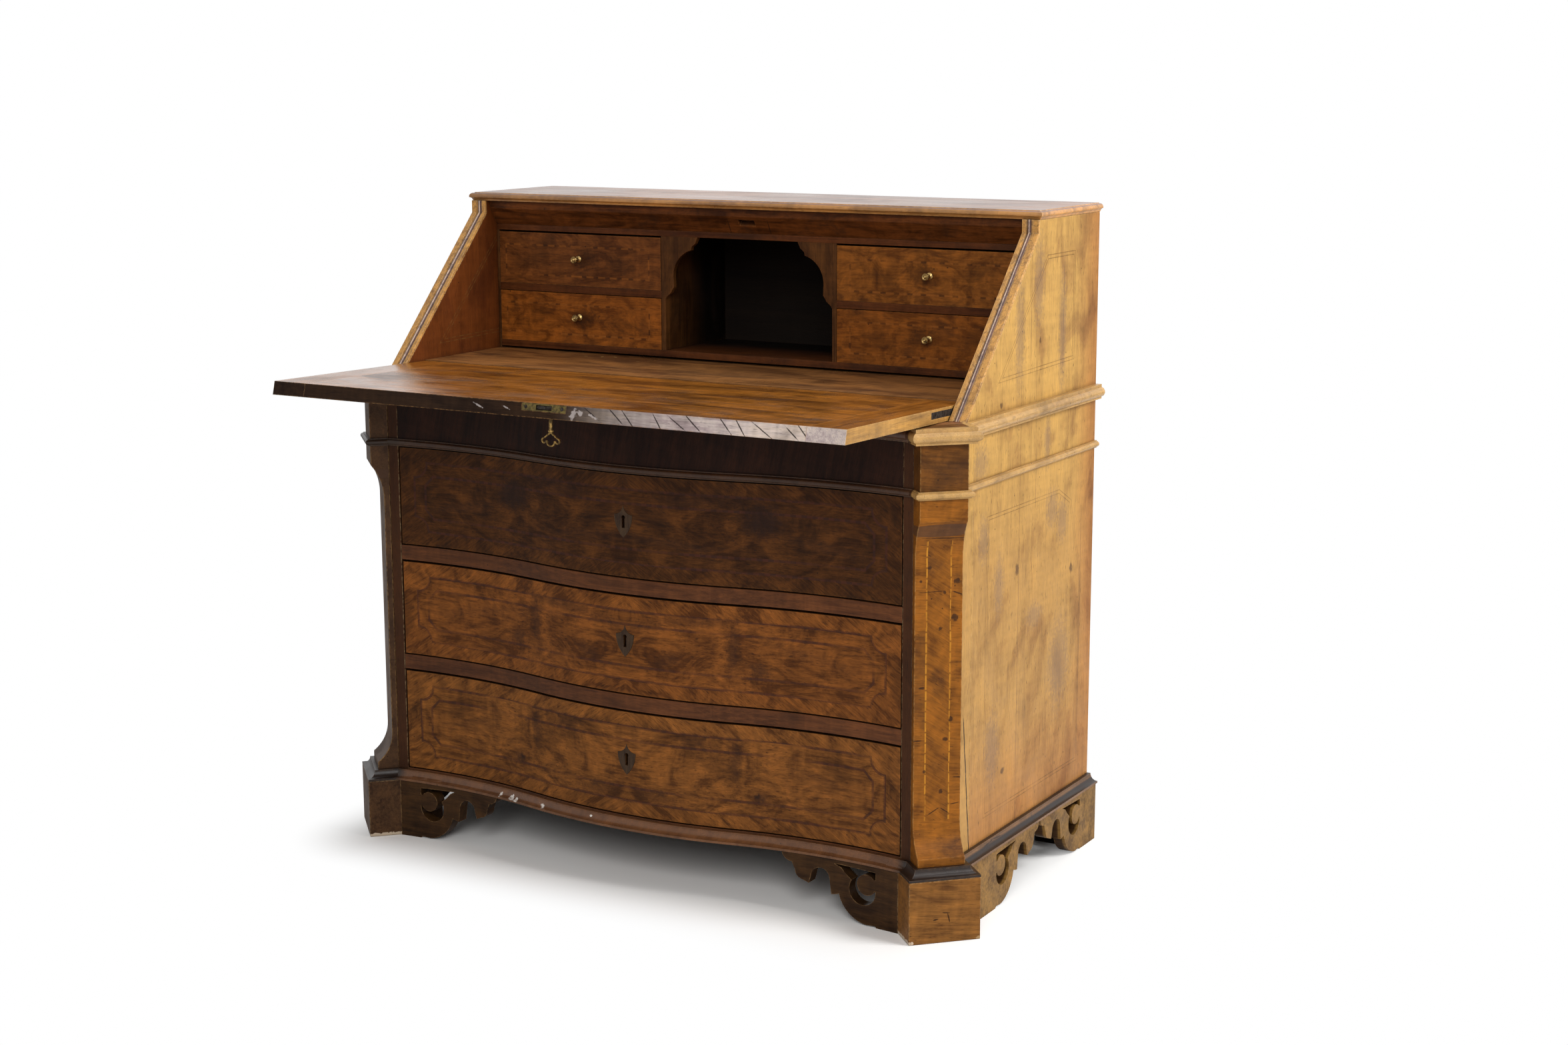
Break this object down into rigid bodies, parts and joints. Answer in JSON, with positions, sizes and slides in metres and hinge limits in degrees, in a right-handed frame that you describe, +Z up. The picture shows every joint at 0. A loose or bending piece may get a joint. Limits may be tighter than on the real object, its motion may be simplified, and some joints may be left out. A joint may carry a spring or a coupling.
{
  "type": "slant-front desk",
  "caption": "Slant-front writing desk with a serpentine drawer front, canted console corners, a pivoted fall, an interior gallery over a covered well, and pierced bracket feet.",
  "frame": {"origin": "middle of the bounding box on the floor, with the fall open", "axes": "+X along the width, to the right seen from the front; +Y from the front to the back; +Z up"},
  "size_m": [1.1756, 0.7962, 1.0605],
  "materials": {
    "walnut": "old polished walnut",
    "dark_walnut": "dark figured walnut veneer, polished",
    "golden_walnut": "faded golden walnut, polished",
    "poplar": "unpolished softwood",
    "iron": "dark worn iron",
    "brass": "tarnished brass"
  },
  "bodies": {
    "case": {"side_left": "golden_walnut", "side_right": "golden_walnut", "back_panel": "poplar", "dust_boards": "poplar", "drawer_guides": "poplar", "corner_post_left": "dark_walnut", "corner_post_right": "dark_walnut", "console_left": "walnut", "console_right": "walnut", "frieze": "dark_walnut", "drawer_rails": "dark_walnut", "foot_block_left": "walnut", "foot_block_right": "walnut", "front_bracket_left": "walnut", "front_bracket_right": "walnut", "side_brackets_left": "walnut", "side_brackets_right": "walnut", "rear_foot_blocks": "poplar", "base_moulding": "walnut", "astragal_moulding": "walnut", "waist_moulding": "walnut", "fall_ledge": "walnut", "top_board": "golden_walnut", "slant_moulding_left": "golden_walnut", "slant_moulding_right": "golden_walnut", "strike_rail": "dark_walnut", "writing_board": "walnut", "well_box": "poplar", "gallery_floor": "walnut", "gallery_top": "walnut", "gallery_uprights": "walnut", "gallery_shelves": "walnut", "spandrels": "walnut"},
    "fall": {"fall_panel": "walnut", "fall_cleats": "golden_walnut", "fall_pivots": "iron", "fall_lock": "iron", "fall_selvedge": "brass", "fall_screws": "iron", "fall_escutcheon": "brass"},
    "bolt": {"fall_bolt": "iron"},
    "key": {"fall_key": "iron"},
    "cover": {"well_cover": "walnut"},
    "drawer_low": {"drawer_low_front": "walnut", "drawer_low_box": "poplar", "drawer_low_lock": "iron"},
    "drawer_mid": {"drawer_mid_front": "walnut", "drawer_mid_box": "poplar", "drawer_mid_lock": "iron"},
    "drawer_high": {"drawer_high_front": "walnut", "drawer_high_box": "poplar", "drawer_high_lock": "iron"},
    "small_ul": {"small_drawer_ul": "walnut", "small_knob_ul": "brass"},
    "small_ur": {"small_drawer_ur": "walnut", "small_knob_ur": "brass"},
    "small_ll": {"small_drawer_ll": "walnut", "small_knob_ll": "brass"},
    "small_lr": {"small_drawer_lr": "walnut", "small_knob_lr": "brass"}
  },
  "joints": [
    {"name": "fall_hinge", "type": "hinge", "parent": "case", "child": "fall", "pos_m": [0, -0.0559, 0.77997], "axis": [-1, 0, 0], "range_deg": [0, 132.3]},
    {"name": "key_turn", "type": "hinge", "parent": "fall", "child": "key", "pos_m": [0.007, -0.37681, 0.78781], "axis": [0, 0.0244, 0.9997], "range_deg": [0, 180]},
    {"name": "bolt_slide", "type": "slide", "parent": "fall", "child": "bolt", "axis": [0, -0.9997, 0.0244], "range_m": [0, 0.008]},
    {"name": "cover_slide", "type": "slide", "parent": "case", "child": "cover", "axis": [0, 1, 0], "range_m": [0, 0.155]},
    {"name": "drawer_low_slide", "type": "slide", "parent": "case", "child": "drawer_low", "axis": [0, -1, 0], "range_m": [0, 0.35]},
    {"name": "drawer_mid_slide", "type": "slide", "parent": "case", "child": "drawer_mid", "axis": [0, -1, 0], "range_m": [0, 0.35]},
    {"name": "drawer_high_slide", "type": "slide", "parent": "case", "child": "drawer_high", "axis": [0, -1, 0], "range_m": [0, 0.35]},
    {"name": "small_ul_slide", "type": "slide", "parent": "case", "child": "small_ul", "axis": [0, 1, 0], "range_m": [-0.13, 0]},
    {"name": "small_ur_slide", "type": "slide", "parent": "case", "child": "small_ur", "axis": [0, 1, 0], "range_m": [-0.13, 0]},
    {"name": "small_ll_slide", "type": "slide", "parent": "case", "child": "small_ll", "axis": [0, 1, 0], "range_m": [-0.13, 0]},
    {"name": "small_lr_slide", "type": "slide", "parent": "case", "child": "small_lr", "axis": [0, 1, 0], "range_m": [-0.13, 0]}
  ],
  "couplings": [
    {"joint": "key_turn", "follows": "bolt_slide", "rad_per_m": 392.6}
  ]
}
